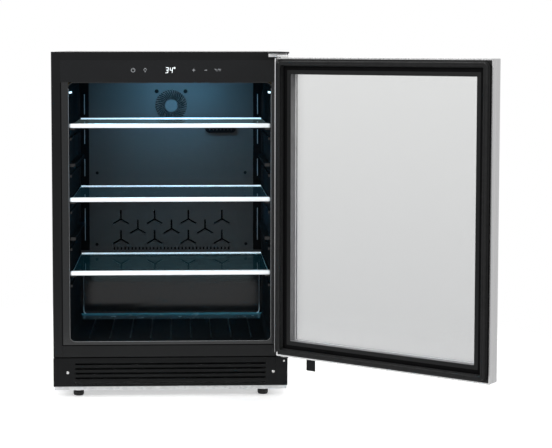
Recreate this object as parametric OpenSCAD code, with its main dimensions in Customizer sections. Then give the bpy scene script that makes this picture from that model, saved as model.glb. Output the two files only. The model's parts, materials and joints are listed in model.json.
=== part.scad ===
// Undercounter refrigerator with a glass door, three sliding glass shelves,
// a fan-cooled evaporator behind the rear panel and a front-breathing machine base.
// Millimetres. +Z up, -Y towards the user, origin on the floor between the four feet.

/* [Cabinet] */
// Width of the cabinet
cabinet_w = 595; // [585:1:605]
// Depth of the cabinet without the door
cabinet_d = 560; // [555:1:570]
// Height of the cabinet top above the floor
cabinet_h = 877; // [870:1:890]
// Thickness of the painted sheet steel
sheet = 1.5; // [1:0.1:1.5]
// Width of the steel flange down each side of the front
flange_w = 23; // [20:1:24]
// Height of the steel flange along the top of the front
top_flange_h = 20.5; // [18:0.5:21]

/* [Food compartment] */
// Clear width between the liner walls
cavity_w = 510; // [506:1:512]
// Height of the compartment floor
floor_z = 143; // [140:1:145]
// Height of the compartment ceiling
ceiling_z = 799; // [795:1:800]
// Thickness of the moulded liner
liner_t = 2; // [2:0.5:2.5]
// Y of the rear end of the compartment floor
step_y = 115; // [110:1:116]
// Y of the liner's rear wall behind the evaporator
liner_back_y = 200; // [198:1:205]
// Heights of the tops of the three glass shelves
shelf_z = [318, 505, 692];
// How far a shelf support stands out from the wall
ledge_out = 15; // [12:1:15]

/* [Rear duct panel] */
// Y of the front of the duct panel
duct_y = 137; // [136:1:138]
// Height of the circulation fan's axis
fan_z = 726; // [720:1:736]
// Outer radius of the fan grille
grille_r = 44; // [42:1:46]
// Number of swirled slots in the fan grille
grille_slots = 38; // [24:2:42]

/* [Door] */
// Width of the door
door_w = 592; // [590:1:592]
// Height of the underside of the door
door_z0 = 114; // [113:0.5:115]
// Height of the top of the door
door_z1 = 863; // [862:0.5:863]
// Thickness of the door without its gasket
door_t = 36; // [34:1:46]
// Gap between the door's inner face and the cabinet, filled by the gasket
door_gap = 15; // [14:0.5:16]
// Opening angle at which the door is drawn, and at which it stops
door_open = 142.5; // [90:0.5:145]
// Width of the door's inner frame, from the door's edge to the glass
lip_w = 41; // [40:1:44]
// Thickness of each glass pane in the door
pane_t = 4; // [3:0.5:4]
// Length of the door handle
handle_l = 560; // [400:10:600]

/* [Feet] */
// Distance between the left and the right feet
foot_dx = 472; // [460:1:480]
// Distance between the front and the rear feet
foot_dy = 490; // [480:1:490]
// Radius of a foot's pad
pad_r = 13.5; // [12:0.5:15]

/* [Hidden] */
$fn = 48;

// Colours of the finishes
black_paint = [0.17, 0.17, 0.18];
black_plastic = [0.12, 0.12, 0.13];
gloss_black = [0.09, 0.09, 0.10];
stainless = [0.74, 0.74, 0.73];
galvanised = [0.78, 0.79, 0.80];
trim_silver = [0.90, 0.91, 0.92];
clear_glass = [0.62, 0.72, 0.74, 0.45];
tinted_glass = [0.74, 0.75, 0.76, 0.45];
rubber_black = [0.07, 0.07, 0.07];
foam_cream = [0.93, 0.88, 0.68];
copper = [0.78, 0.45, 0.28];
white_plastic = [0.90, 0.90, 0.88];
board_green = [0.10, 0.36, 0.20];

// Cabinet planes
half_w = cabinet_w / 2;
front_y = -cabinet_d / 2;
back_y = cabinet_d / 2;
open_x = cavity_w / 2;
frame_x = half_w - flange_w;
panel_top_z = cabinet_h - top_flange_h;
shell_bottom = 28;
plinth_top = 104;
rail_top = 133;

// Machine compartment behind the step and under the floor
bay_front_y = step_y + 37;
bay_top = 268;
step_top = 300;
step_seam = 212;
evaporator_floor = 312;
pan_z = 26;

// Lines that pass from the evaporator down to the machine bay
suction_x = -150;
suction_y = liner_back_y - 8;
suction_r = 4;
drain_y = liner_back_y - 20;
drain_r = 7;

// Door planes with the door closed, and the hinge axis
door_half = door_w / 2;
door_in = front_y - door_gap;
door_out = door_in - door_t;
door_mid_z = (door_z0 + door_z1) / 2;
door_h = door_z1 - door_z0;
pin_x = 286;
pin_y = door_in - 20;
pin_r = 4;
fit = 0.05;
gap = 0.3;

// Groove between the liner's flange and the steel frame
groove_w = 2;
groove_d = 8;

// ---------- shared shapes ----------

// Block between three pairs of limits
module span(x, y, z) {
    translate([x[0], y[0], z[0]]) cube([x[1] - x[0], y[1] - y[0], z[1] - z[0]]);
}

// Profile drawn in X and Z, run along Y
module along_y(y0, y1) {
    translate([0, y1, 0]) rotate([90, 0, 0]) linear_extrude(y1 - y0) children();
}

// Profile drawn in Y and Z, run along X
module along_x(x0, x1) {
    translate([x0, 0, 0]) rotate([90, 0, 90]) linear_extrude(x1 - x0) children();
}

module both_sides() {
    children();
    mirror([1, 0, 0]) children();
}

// Rectangle with true round corners, centred
module round_rect(w, h, r) {
    square([w - 2 * r, h], center = true);
    square([w, h - 2 * r], center = true);
    for (x = [-1, 1], y = [-1, 1])
        translate([x * (w / 2 - r), y * (h / 2 - r)]) circle(r);
}

// Slot with round ends, from the origin along +X
module slot_2d(length, width) {
    translate([0, -width / 2]) square([length, width]);
    circle(width / 2);
    translate([length, 0]) circle(width / 2);
}

// Tube through a list of points, with a ball at each bend
module pipe(points, r) {
    for (i = [0:len(points) - 2]) {
        run = points[i + 1] - points[i];
        length = norm(run);
        translate(points[i])
            rotate([0, acos(run[2] / length), atan2(run[1], run[0])])
                cylinder(h = length, r = r);
    }
    for (i = [1:1:len(points) - 2]) translate(points[i]) sphere(r);
}

// Screw along +Y whose pan head stands in front of y
module screw_y(x, y, z, head_r, length) {
    translate([x, y, z]) rotate([90, 0, 0]) cylinder(h = 2.2, r = head_r);
    translate([x, y + length, z]) rotate([90, 0, 0]) cylinder(h = length, r = head_r * 0.45);
}

// ---------- cabinet ----------

module cabinet_shell() {
    color(black_paint) difference() {
        translate([0, 0, shell_bottom])
            linear_extrude(cabinet_h - shell_bottom) round_rect(cabinet_w, cabinet_d, 3);
        span([-half_w + sheet, half_w - sheet], [front_y + sheet, back_y + 1],
             [shell_bottom - 1, cabinet_h - sheet]);
        span([-frame_x, frame_x], [front_y - 1, front_y + sheet + 1], [plinth_top - 1, panel_top_z]);
        span([-half_w - 1, half_w + 1], [front_y - 1, front_y + 18], [shell_bottom - 1, plinth_top]);
    }
}

module bottom_rail() {
    color(black_paint) difference() {
        span([-frame_x, frame_x], [front_y, front_y + 12], [plinth_top, rail_top]);
        span([-frame_x + 2, frame_x - 2], [front_y + sheet, front_y + 13],
             [plinth_top + sheet, rail_top - sheet]);
    }
}

module back_panel() {
    color(galvanised) difference() {
        span([-half_w + sheet, half_w - sheet], [back_y - sheet, back_y], [bay_top + 2, cabinet_h - sheet]);
        for (z = [bay_top + 60:180:cabinet_h - 60])
            along_y(back_y - 0.7, back_y + 1)
                translate([0, z]) round_rect(cabinet_w - 120, 14, 6);
    }
}

module machine_cover() {
    cover_z0 = 34;
    slot_pitch = 14;
    color(galvanised) difference() {
        span([-half_w + sheet, half_w - sheet], [back_y - sheet, back_y], [cover_z0, bay_top + 2]);
        for (i = [0:11], side = [-1, 1])
            along_y(back_y - sheet - 1, back_y + 1)
                translate([side * 160 - 55, 70 + i * slot_pitch]) slot_2d(110, 5);
        span([-24, 24], [back_y - sheet - 1, back_y + 1], [218, 250]);
    }
}

module base_pan() {
    pan_x = half_w - sheet;
    lip = 9;
    color(galvanised) difference() {
        union() {
            span([-pan_x, pan_x], [front_y + 10, back_y - 4], [pan_z, pan_z + 2]);
            span([-pan_x, pan_x], [front_y + 10, front_y + 12], [pan_z - lip, pan_z]);
            span([-pan_x, pan_x], [back_y - 6, back_y - 4], [pan_z - lip, pan_z]);
            both_sides() span([pan_x - 2, pan_x], [front_y + 18, back_y - 4], [pan_z, pan_z + 26]);
        }
        for (x = [-1, 1], y = [-1, 1])
            translate([x * foot_dx / 2, y * foot_dy / 2, pan_z - 1]) cylinder(h = 4, r = pin_r + fit);
    }
}

// Holes through the insulation for the suction line and the drain tube
module service_holes(z0, z1, clearance) {
    translate([suction_x, suction_y, z0]) cylinder(h = z1 - z0, r = suction_r + clearance);
    translate([0, drain_y, z0]) cylinder(h = z1 - z0, r = drain_r + clearance);
}

// Sheet that closes the foam underneath and lines the machine bay
module floor_plate() {
    x = half_w - sheet;
    color(galvanised) difference() {
        along_x(-x, x) polygon([
            [front_y + 12, plinth_top - 1], [bay_front_y + 1, plinth_top - 1],
            [bay_front_y + 1, bay_top], [back_y - sheet, bay_top],
            [back_y - sheet, bay_top + 1], [bay_front_y, bay_top + 1],
            [bay_front_y, plinth_top], [front_y + 12, plinth_top]
        ]);
        service_holes(bay_top - 2, bay_top + 3, 1);
    }
}

// Side profile of the compartment, in Y and Z, grown by t all round
module cavity_profile(t) {
    polygon([
        [front_y, floor_z - t], [step_y + t, floor_z - t], [step_y + t, step_seam],
        [duct_y + t, step_top - t], [liner_back_y + t, evaporator_floor - t],
        [liner_back_y + t, ceiling_z + t], [front_y, ceiling_z + t]
    ]);
}

// Space inside the liner, grown by t, with round rear corners and round floor corners
module cavity(t) {
    corner = 14 + t;
    intersection() {
        along_x(-open_x - t, open_x + t) cavity_profile(t);
        along_y(front_y - 10, back_y) union() {
            translate([0, (floor_z + ceiling_z) / 2])
                round_rect(cavity_w + 2 * t, ceiling_z - floor_z + 2 * t, corner);
        }
    }
}

// Ledges for five shelf positions on the right-hand wall, and the post behind them
module wall_ledges() {
    levels = [for (i = [0:4]) shelf_z[0] + i * (shelf_z[2] - shelf_z[0]) / 4 - 4 - gap];
    for (z = levels) {
        span([open_x - ledge_out, open_x + 1], [front_y + 22, 100], [z - 8, z]);
        span([open_x - 6, open_x + 1], [front_y + 22, 92], [z - 34, z - 28]);
    }
    span([open_x - 5, open_x + 1], [92, 104], [shelf_z[0] - 90, shelf_z[2] + 70]);
}

// Flange round the opening, with a groove where it meets the steel frame
module liner_flange() {
    x = frame_x - groove_w;
    z = rail_top + groove_w;
    top = ceiling_z + liner_t;
    span([-x, x], [front_y, front_y + liner_t], [z, top]);
    span([-frame_x, frame_x], [front_y + groove_d, front_y + groove_d + liner_t], [rail_top, z + liner_t]);
    span([-x, x], [front_y, front_y + groove_d + liner_t], [z, z + liner_t]);
    both_sides() {
        span([x - liner_t, frame_x], [front_y + groove_d, front_y + groove_d + liner_t], [rail_top, top]);
        span([x - liner_t, x], [front_y, front_y + groove_d + liner_t], [z, top]);
    }
}

module inner_liner() {
    color(black_plastic) difference() {
        union() {
            difference() {
                union() {
                    cavity(liner_t);
                    liner_flange();
                }
                translate([0, -0.01, 0]) cavity(0);
                cavity(0);
                span([-open_x + 14, open_x - 14], [front_y - 1, front_y + liner_t + 1], [floor_z, ceiling_z + 5]);
                span([-open_x, open_x], [front_y - 1, front_y + liner_t + 1], [ceiling_z - 16, ceiling_z + 5]);
            }
            both_sides() wall_ledges();
        }
        service_holes(step_top - 10, evaporator_floor + 4, 0.5);
    }
}

module foam_insulation() {
    x = half_w - sheet;
    color(foam_cream) difference() {
        along_x(-x, x) polygon([
            [front_y + 12, plinth_top], [bay_front_y, plinth_top], [bay_front_y, bay_top + 1],
            [back_y - sheet, bay_top + 1], [back_y - sheet, cabinet_h - sheet],
            [front_y + 20, cabinet_h - sheet], [front_y + 20, rail_top], [front_y + 12, rail_top]
        ]);
        cavity(liner_t);
        service_holes(bay_top, evaporator_floor + 4, 0.5);
    }
}

// ---------- controls and lighting ----------

module control_panel() {
    wall = 2.5;
    color(gloss_black) difference() {
        span([-frame_x, frame_x], [front_y, front_y + 18], [ceiling_z + liner_t, panel_top_z]);
        span([-frame_x + wall, frame_x - wall], [front_y + wall, front_y + 19],
             [ceiling_z + liner_t + wall, panel_top_z - wall]);
        along_y(front_y - 1, front_y + wall + 1) translate([0, 831]) round_rect(36, 21, 2);
    }
}

module display_lens() {
    color([0.03, 0.03, 0.04]) along_y(front_y, front_y + 2.5) translate([0, 831]) round_rect(36, 21, 2);
}

module control_board() {
    color(board_green) {
        span([-120, 120], [front_y + 8, front_y + 9.6], [812, 848]);
        span([-16, 16], [front_y + 3, front_y + 8], [823, 839]);
        for (x = [-96, -66, 60, 84]) translate([x, front_y + 15, 830]) rotate([90, 0, 0]) cylinder(h = 5.4, r = 5);
    }
}

module led_lamps() {
    color([0.85, 0.95, 1.0]) both_sides()
        span([open_x - 5, open_x - 0.2], [front_y + 26, front_y + 66], [772, 776]);
}

// ---------- cold-air system ----------

// One swirled slot of the fan grille, wider towards the rim
module swirl_slot() {
    r0 = grille_r * 0.40;
    r1 = grille_r * 0.70;
    r2 = grille_r;
    share = 0.68;
    w0 = PI * r0 / grille_slots * share;
    w1 = PI * r1 / grille_slots * share;
    w2 = PI * r2 / grille_slots * share;
    turn = 16;
    bow = 4.2;
    polygon([
        [r0, -w0], [r1, bow - w1], [r2 * cos(turn), r2 * sin(turn) - w2],
        [r2 * cos(turn), r2 * sin(turn) + w2], [r1, bow + w1], [r0, w0]
    ]);
}

module y_vent() {
    for (a = [90, 210, 330]) rotate(a) slot_2d(24, 4.4);
}

module duct_panel() {
    raised = 3;
    centre_w = 456;
    vent_z = 381;
    color(black_plastic) difference() {
        union() {
            intersection() {
                span([-open_x, open_x], [duct_y, duct_y + 3], [step_top + 2, ceiling_z]);
                cavity(-gap);
            }
            along_y(duct_y - raised, duct_y) translate([0, (step_top + ceiling_z) / 2 + 2])
                round_rect(centre_w, ceiling_z - step_top - 16, 8);
        }
        along_y(duct_y - 5, duct_y + 5) {
            for (i = [0:grille_slots - 1]) translate([0, fan_z]) rotate(i * 360 / grille_slots) swirl_slot();
            for (x = [-141, -47, 47, 141], z = [vent_z - 28, vent_z + 28]) translate([x, z]) y_vent();
            for (x = [-94, 0, 94]) translate([x, vent_z + 1]) y_vent();
            for (i = [-16:16]) translate([i * 10 - 2, 322]) square([4, 9]);
        }
    }
}

module sensor_cover() {
    centre_x = 137;
    centre_z = 670.5;
    wide = 86;
    tall = 39;
    wall = 3;
    color(black_plastic) difference() {
        along_y(duct_y - 17, duct_y - 3) translate([centre_x, centre_z]) round_rect(wide, tall, 13);
        along_y(duct_y - 14.5, duct_y - 2) translate([centre_x, centre_z])
            round_rect(wide - 2 * wall, tall - 2 * wall, 13 - wall);
        for (i = [-3:3]) along_y(duct_y - 18, duct_y - 13)
            translate([centre_x + i * 10 - 1.5, centre_z - 12]) square([3, 24]);
    }
}

// Tubes along X held in a stack of fins
module finned_coil(x0, x1, y0, y1, z0, z1, fins, tubes, tube_r) {
    step = (x1 - x0) / fins;
    rise = (z1 - z0) / tubes;
    for (i = [0:fins]) span([x0 + i * step, x0 + i * step + 1.2], [y0, y1], [z0, z1]);
    for (j = [0:tubes - 1])
        translate([x0 - 10, (y0 + y1) / 2, z0 + (j + 0.5) * rise]) rotate([0, 90, 0])
            cylinder(h = x1 - x0 + 21.2, r = tube_r);
}

module evaporator_coil() {
    color([0.80, 0.82, 0.84]) finned_coil(-190, 190, 150, 192, 430, 630, 19, 6, 4);
}

// Motor with its bracket, axis along Y
module evaporator_fan_motor() {
    color(black_plastic) {
        translate([0, 197, fan_z]) rotate([90, 0, 0]) cylinder(h = 29, r = 26);
        translate([0, 169, fan_z]) rotate([90, 0, 0]) cylinder(h = 24, r = 1.6);
        translate([0, liner_back_y - fit, fan_z]) rotate([90, 0, 0]) linear_extrude(4)
            for (a = [45, 135]) rotate(a) square([104, 10], center = true);
    }
}

// Rotor with flat pitched blades, drawn about +Z
module rotor(hub_r, tip_r, height, blades, bore_r) {
    difference() {
        union() {
            cylinder(h = height, r = hub_r);
            for (i = [0:blades - 1]) rotate(i * 360 / blades)
                translate([hub_r - 2, 0, height / 2]) rotate([32, 0, 0])
                    translate([0, -(tip_r - hub_r) * 0.45, -0.8])
                        cube([tip_r - hub_r, (tip_r - hub_r) * 0.9, 1.6]);
        }
        translate([0, 0, -1]) cylinder(h = height + 2, r = bore_r);
    }
}

module evaporator_fan() {
    color([0.25, 0.25, 0.26]) translate([0, 165, fan_z]) rotate([90, 0, 0]) rotor(13, 38, 16, 7, 1.6 + fit);
}

module drain_tube() {
    color(white_plastic) difference() {
        translate([0, drain_y, 238]) cylinder(h = 74, r = drain_r);
        translate([0, drain_y, 230]) cylinder(h = 90, r = drain_r - 1.5);
    }
}

// ---------- machine bay ----------

compressor_x = 130;
compressor_y = 214;
compressor_r = 55;

module compressor() {
    color(black_paint) translate([compressor_x, compressor_y, 0]) {
        rotate_extrude() {
            translate([0, 44]) square([compressor_r, 130]);
            translate([0, 44]) square([compressor_r - 22, 152]);
            translate([compressor_r - 22, 174]) circle(22);
        }
        span([-78, 78], [-46, 46], [40, 44]);
    }
}

module compressor_grommets() {
    color(rubber_black) for (x = [-68, 68], y = [-38, 38])
        translate([compressor_x + x, compressor_y + y, pan_z + 2]) cylinder(h = 12, r = 8);
}

module compressor_relay() {
    color(black_plastic) difference() {
        span([compressor_x + 20, compressor_x + 72], [compressor_y - 25, compressor_y + 25], [90, 150]);
        translate([compressor_x, compressor_y, 80]) cylinder(h = 80, r = compressor_r);
    }
}

module condenser_coil() {
    color([0.35, 0.36, 0.37]) finned_coil(-272, -172, 160, 268, 80, 210, 12, 6, 4);
}

module condenser_shroud() {
    color(black_plastic) difference() {
        union() {
            span([-158, -154], [156, 272], [pan_z + 2, 222]);
            span([-158, -120], [156, 160], [pan_z + 2, 222]);
            span([-158, -120], [156, 272], [pan_z + 2, pan_z + 5]);
        }
        translate([-160, 214, 145]) rotate([0, 90, 0]) cylinder(h = 10, r = 53);
        span([-160, -150], [255, 273], [58, 74]);
    }
}

// Motor on a two-legged bracket, axis along X
module condenser_fan_motor() {
    color(black_plastic) {
        translate([-112, 214, 145]) rotate([0, 90, 0]) cylinder(h = 40, r = 24);
        translate([-140, 214, 145]) rotate([0, 90, 0]) cylinder(h = 29, r = 2);
        span([-92, -86], [190, 238], [pan_z + 2, 122]);
        span([-100, -78], [190, 238], [pan_z + 2, pan_z + 5]);
    }
}

module condenser_fan() {
    color([0.25, 0.25, 0.26]) translate([-142, 214, 145]) rotate([0, 90, 0]) rotor(15, 50, 22, 5, 2 + fit);
}

module filter_drier() {
    color(copper) translate([-30, 176, 0]) {
        translate([0, 0, 90]) cylinder(h = 90, r = 11);
        translate([0, 0, 78]) cylinder(h = 114, r = 4);
    }
}

module suction_line() {
    color(copper) difference() {
        pipe([[suction_x, suction_y, 428], [suction_x, suction_y, 250],
              [110, suction_y, 250], [110, suction_y, 190]], suction_r);
        translate([compressor_x, compressor_y, 0]) rotate_extrude() {
            translate([0, 44]) square([compressor_r - 22, 152]);
            translate([compressor_r - 22, 174]) circle(22);
        }
    }
}

module discharge_line() {
    start_x = compressor_x - compressor_r - gap;
    color(copper) pipe([
        [start_x, compressor_y, 70], [40, compressor_y, 70], [40, 262, 70],
        [-285, 262, 70], [-285, compressor_y, 70], [-285, compressor_y, 86]
    ], 3);
}

// Tray over the compressor that boils off the defrost water
module drain_pan() {
    x = [-40, 60];
    color(white_plastic) difference() {
        span(x, [158, 214], [206, 234]);
        span(x + [2, -2], [160, 212], [208, 236]);
    }
}

module power_inlet() {
    color(gloss_black) difference() {
        union() {
            span([-24, 24], [back_y - 26, back_y], [218, 250]);
            span([-29, 29], [back_y - 4, back_y - sheet], [213, 255]);
        }
        along_y(back_y - 20, back_y + 1) translate([0, 234]) difference() {
            round_rect(36, 24, 3);
            for (x = [-8, 0, 8]) translate([x - 1, x == 0 ? 1 : -5]) square([2, 4]);
        }
    }
}

// ---------- plinth and feet ----------

module toe_grille() {
    y = front_y + 1;
    louvre_z = [for (i = [0:4]) 37.5 + i * 12];
    color(black_paint) difference() {
        union() {
            span([-half_w, half_w], [y, y + sheet], [shell_bottom, plinth_top - 3]);
            both_sides() span([half_w - sheet, half_w], [y, front_y + 17.7], [shell_bottom, plinth_top - 3]);
        }
        for (z = louvre_z) along_y(y - 1, y + sheet + 1) translate([-240, z]) slot_2d(480, 5);
        for (x = [-261, 261]) translate([x, y + 5, 64]) rotate([90, 0, 0]) cylinder(h = 10, r = 2.3);
    }
    color(black_paint) for (z = louvre_z) along_x(-242, 242) polygon([
        [y + 0.5, z + 2.5], [y + 0.5, z + 3.7], [y + 8, z - 2.3], [y + 8, z - 3.5]
    ]);
}

module toe_grille_screws() {
    color(galvanised) for (x = [-261, 261]) screw_y(x, front_y + 1, 64, 4.8, 12);
}

// Levelling foot: round pad, collar and threaded stem
module foot(side_x, side_y) {
    color(rubber_black) translate([side_x * foot_dx / 2, side_y * foot_dy / 2, 0]) {
        cylinder(h = 2, r = pad_r - 1.5);
        translate([0, 0, 2]) cylinder(h = 10, r = pad_r);
        translate([0, 0, 12]) cylinder(h = 4, r = pad_r - 3.5, $fn = 6);
        translate([0, 0, 16]) cylinder(h = 42, r = pin_r);
    }
}
module foot_front_left() { foot(-1, -1); }
module foot_front_right() { foot(1, -1); }
module foot_rear_left() { foot(-1, 1); }
module foot_rear_right() { foot(1, 1); }

// ---------- hinges ----------

module top_hinge_bracket() {
    arm_z = door_z1 + 3;
    color(galvanised) difference() {
        union() {
            span([pin_x - 38, half_w - 3], [front_y - 3, front_y], [door_z1 + 1, cabinet_h - 2]);
            span([pin_x - 18, half_w - 3], [pin_y, front_y - 3], [arm_z, arm_z + 3]);
            translate([pin_x, pin_y, arm_z]) cylinder(h = 3, r = 8.5);
        }
        translate([pin_x, pin_y, arm_z - 1]) cylinder(h = 5, r = pin_r);
        for (x = [-31, -10]) translate([pin_x + x, front_y + 1, 873]) rotate([90, 0, 0]) cylinder(h = 6, r = 1.5);
    }
}

module top_hinge_cover() {
    cap_h = 4.5;
    cap_t = 1.5;
    base_z = cabinet_h - cap_h;
    color(black_plastic) difference() {
        union() {
            span([pin_x - 40, half_w], [pin_y - 2, front_y - 0.2], [base_z, cabinet_h]);
            translate([pin_x + 0.5, pin_y - 2, base_z]) cylinder(h = cap_h, r = 11);
        }
        span([pin_x - 38.5, half_w - cap_t], [pin_y - 1, front_y + 1], [base_z - 1, cabinet_h - cap_t]);
        translate([pin_x, pin_y, base_z - 1]) cylinder(h = cap_h + 1 - cap_t, r = 9.5);
    }
}

bottom_hinge_screw_z = [92, 118];

module bottom_hinge_bracket() {
    arm_z = door_z0 - 8;
    plate_z = [80, door_z0 + 8];
    color(black_paint) difference() {
        union() {
            span([pin_x - 18, half_w], [front_y - 3, front_y], plate_z);
            span([pin_x - 12, half_w], [pin_y, front_y - 3], [arm_z, arm_z + 3]);
            translate([pin_x, pin_y, arm_z]) cylinder(h = 3, r = 11.5);
        }
        translate([pin_x, pin_y, arm_z - 1]) cylinder(h = 5, r = pin_r);
        for (z = bottom_hinge_screw_z)
            translate([pin_x + 2, front_y + 1, z]) rotate([90, 0, 0]) cylinder(h = 6, r = 2);
    }
}

module hinge_pins() {
    color(stainless) {
        translate([pin_x, pin_y, door_z1 - 20]) cylinder(h = 26, r = pin_r);
        translate([pin_x, pin_y, door_z0 - 8]) cylinder(h = 28, r = pin_r);
    }
}

module hinge_screws() {
    color(galvanised) {
        for (x = [-31, -10]) translate([pin_x + x, front_y - 3, 873]) rotate([90, 0, 0]) cylinder(h = 1, r = 2.2);
        for (z = bottom_hinge_screw_z)
            translate([pin_x + 2, front_y - 3, z]) rotate([90, 0, 0]) cylinder(h = 1.6, r = 3.6);
    }
}

// ---------- door, drawn closed and turned open about the hinge axis ----------

module opened() {
    translate([pin_x, pin_y, 0]) rotate(door_open) translate([-pin_x, -pin_y, 0]) children();
}

// Rectangular ring in the door's plane: outer edge at inset a, inner edge at inset b
module door_ring(y0, y1, a, b, ra = 2, rb = 2) {
    along_y(y0, y1) translate([0, door_mid_z]) difference() {
        round_rect(door_w - 2 * a, door_h - 2 * a, ra);
        round_rect(door_w - 2 * b, door_h - 2 * b, rb);
    }
}

module door_sheet(y0, y1, a, r = 2) {
    along_y(y0, y1) translate([0, door_mid_z]) round_rect(door_w - 2 * a, door_h - 2 * a, r);
}

module bush_holes() {
    translate([pin_x, pin_y, door_z0 - 5]) cylinder(h = door_h + 10, r = 7);
}

module door_outer_frame() {
    face_w = lip_w;
    edge_w = 3.6;
    color(stainless) opened() difference() {
        union() {
            door_ring(door_out, door_out + sheet, 0, face_w);
            door_ring(door_out + sheet, door_in - sheet, 0, sheet);
            door_ring(door_in - sheet, door_in, 0, edge_w);
        }
        bush_holes();
    }
}

module door_inner_frame() {
    color(black_plastic) opened() {
        door_ring(door_in - 3, door_in, 3.7, lip_w);
        door_ring(door_in - 19.5, door_in - 3, lip_w - 3.5, lip_w);
    }
}

module door_gasket() {
    foot_y = door_in + 6;
    inset = 6;
    foot_w = 16;
    color(rubber_black) opened() {
        door_ring(door_in, foot_y, inset, inset + foot_w, 6, 3);
        door_ring(foot_y, front_y - gap, inset + 3, inset + foot_w - 2, 5, 3);
    }
}

module inner_glass() {
    color(tinted_glass) opened() door_sheet(door_in - 19.5 - pane_t, door_in - 19.5, 30);
}

module glass_spacer() {
    spacer_x = 34;
    color([0.62, 0.63, 0.64]) opened()
        door_ring(door_out + 2.5 + pane_t, door_in - 19.5 - pane_t, spacer_x, lip_w);
}

module outer_glass() {
    color(tinted_glass) opened() door_sheet(door_out + 2.5, door_out + 2.5 + pane_t, 30);
}

handle_x = -door_half + 45;
handle_y = door_out - 50;
handle_r = 8;

module handle_bar() {
    translate([handle_x, handle_y, door_mid_z - handle_l / 2]) cylinder(h = handle_l, r = handle_r);
}

module door_handle() {
    color(stainless) opened() handle_bar();
}

module handle_posts() {
    color(stainless) opened() difference() {
        for (s = [-1, 1]) translate([handle_x, door_out, door_mid_z + s * (handle_l / 2 - 45)])
            rotate([90, 0, 0]) cylinder(h = 50, r = 6);
        handle_bar();
    }
}

// Angle under the door that meets the lower hinge and ends its travel
module door_stop() {
    tab_x = [190, 215];
    flange_x = [190, 230];
    tab_drop = 31;
    plate = 2.5;
    color(black_paint) opened() {
        span(tab_x, [pin_y + 3, pin_y + 3 + plate], [door_z0 - tab_drop, door_z0 - plate]);
        span(flange_x, [pin_y - 9, pin_y + 3 + plate], [door_z0 - plate, door_z0]);
    }
}

module hinge_bushes() {
    color(white_plastic) opened() difference() {
        union() {
            translate([pin_x, pin_y, door_z1 - 22]) cylinder(h = 22, r = 7);
            translate([pin_x, pin_y, door_z1]) cylinder(h = 2.6, r = 9);
            translate([pin_x, pin_y, door_z0]) cylinder(h = 22, r = 7);
            translate([pin_x, pin_y, door_z0 - 4.6]) cylinder(h = 4.6, r = 9);
        }
        translate([pin_x, pin_y, door_z0 - 10]) cylinder(h = door_h + 20, r = pin_r + fit);
    }
}

// ---------- shelves ----------

glass_front = front_y + 12;
glass_back = 100;
glass_half = 250;
shelf_glass_t = 4;
trim_r = 5.5;

module shelf_glass(level) {
    z = shelf_z[level];
    color(clear_glass) span([-glass_half, glass_half], [glass_front, glass_back], [z - shelf_glass_t, z]);
}

// Front trim with a rounded nose and a groove for the glass
module shelf_front_trim(level) {
    z = shelf_z[level];
    color(trim_silver) along_x(-open_x + 2, open_x - 2) difference() {
        union() {
            translate([glass_front - 2, z - 1]) circle(trim_r);
            translate([glass_front - 2, z - 1 - trim_r]) square([8, 2 * trim_r]);
        }
        translate([glass_front, z - shelf_glass_t]) square([20, shelf_glass_t]);
    }
}

module shelf_rear_trim(level) {
    z = shelf_z[level];
    color(trim_silver) along_x(-glass_half + 2, glass_half - 2) {
        translate([glass_back - 6, z]) square([9, 2]);
        translate([glass_back, z - shelf_glass_t]) square([3, shelf_glass_t]);
    }
}

module shelf_1_glass() { shelf_glass(2); }
module shelf_1_front_trim() { shelf_front_trim(2); }
module shelf_1_rear_trim() { shelf_rear_trim(2); }
module shelf_2_glass() { shelf_glass(1); }
module shelf_2_front_trim() { shelf_front_trim(1); }
module shelf_2_rear_trim() { shelf_rear_trim(1); }
module shelf_3_glass() { shelf_glass(0); }
module shelf_3_front_trim() { shelf_front_trim(0); }
module shelf_3_rear_trim() { shelf_rear_trim(0); }

cabinet_shell();
bottom_rail();
back_panel();
machine_cover();
base_pan();
floor_plate();
inner_liner();
foam_insulation();
control_panel();
display_lens();
control_board();
led_lamps();
duct_panel();
sensor_cover();
evaporator_coil();
evaporator_fan_motor();
evaporator_fan();
drain_tube();
compressor();
compressor_grommets();
compressor_relay();
condenser_coil();
condenser_shroud();
condenser_fan_motor();
condenser_fan();
filter_drier();
suction_line();
discharge_line();
drain_pan();
power_inlet();
toe_grille();
toe_grille_screws();
foot_front_left();
foot_front_right();
foot_rear_left();
foot_rear_right();
top_hinge_bracket();
top_hinge_cover();
bottom_hinge_bracket();
hinge_pins();
hinge_screws();
door_outer_frame();
door_inner_frame();
door_gasket();
outer_glass();
glass_spacer();
inner_glass();
door_handle();
handle_posts();
door_stop();
hinge_bushes();
shelf_1_glass();
shelf_1_front_trim();
shelf_1_rear_trim();
shelf_2_glass();
shelf_2_front_trim();
shelf_2_rear_trim();
shelf_3_glass();
shelf_3_front_trim();
shelf_3_rear_trim();
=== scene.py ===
import json
import math

import bmesh
import bpy
from mathutils import Matrix, Vector

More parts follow.
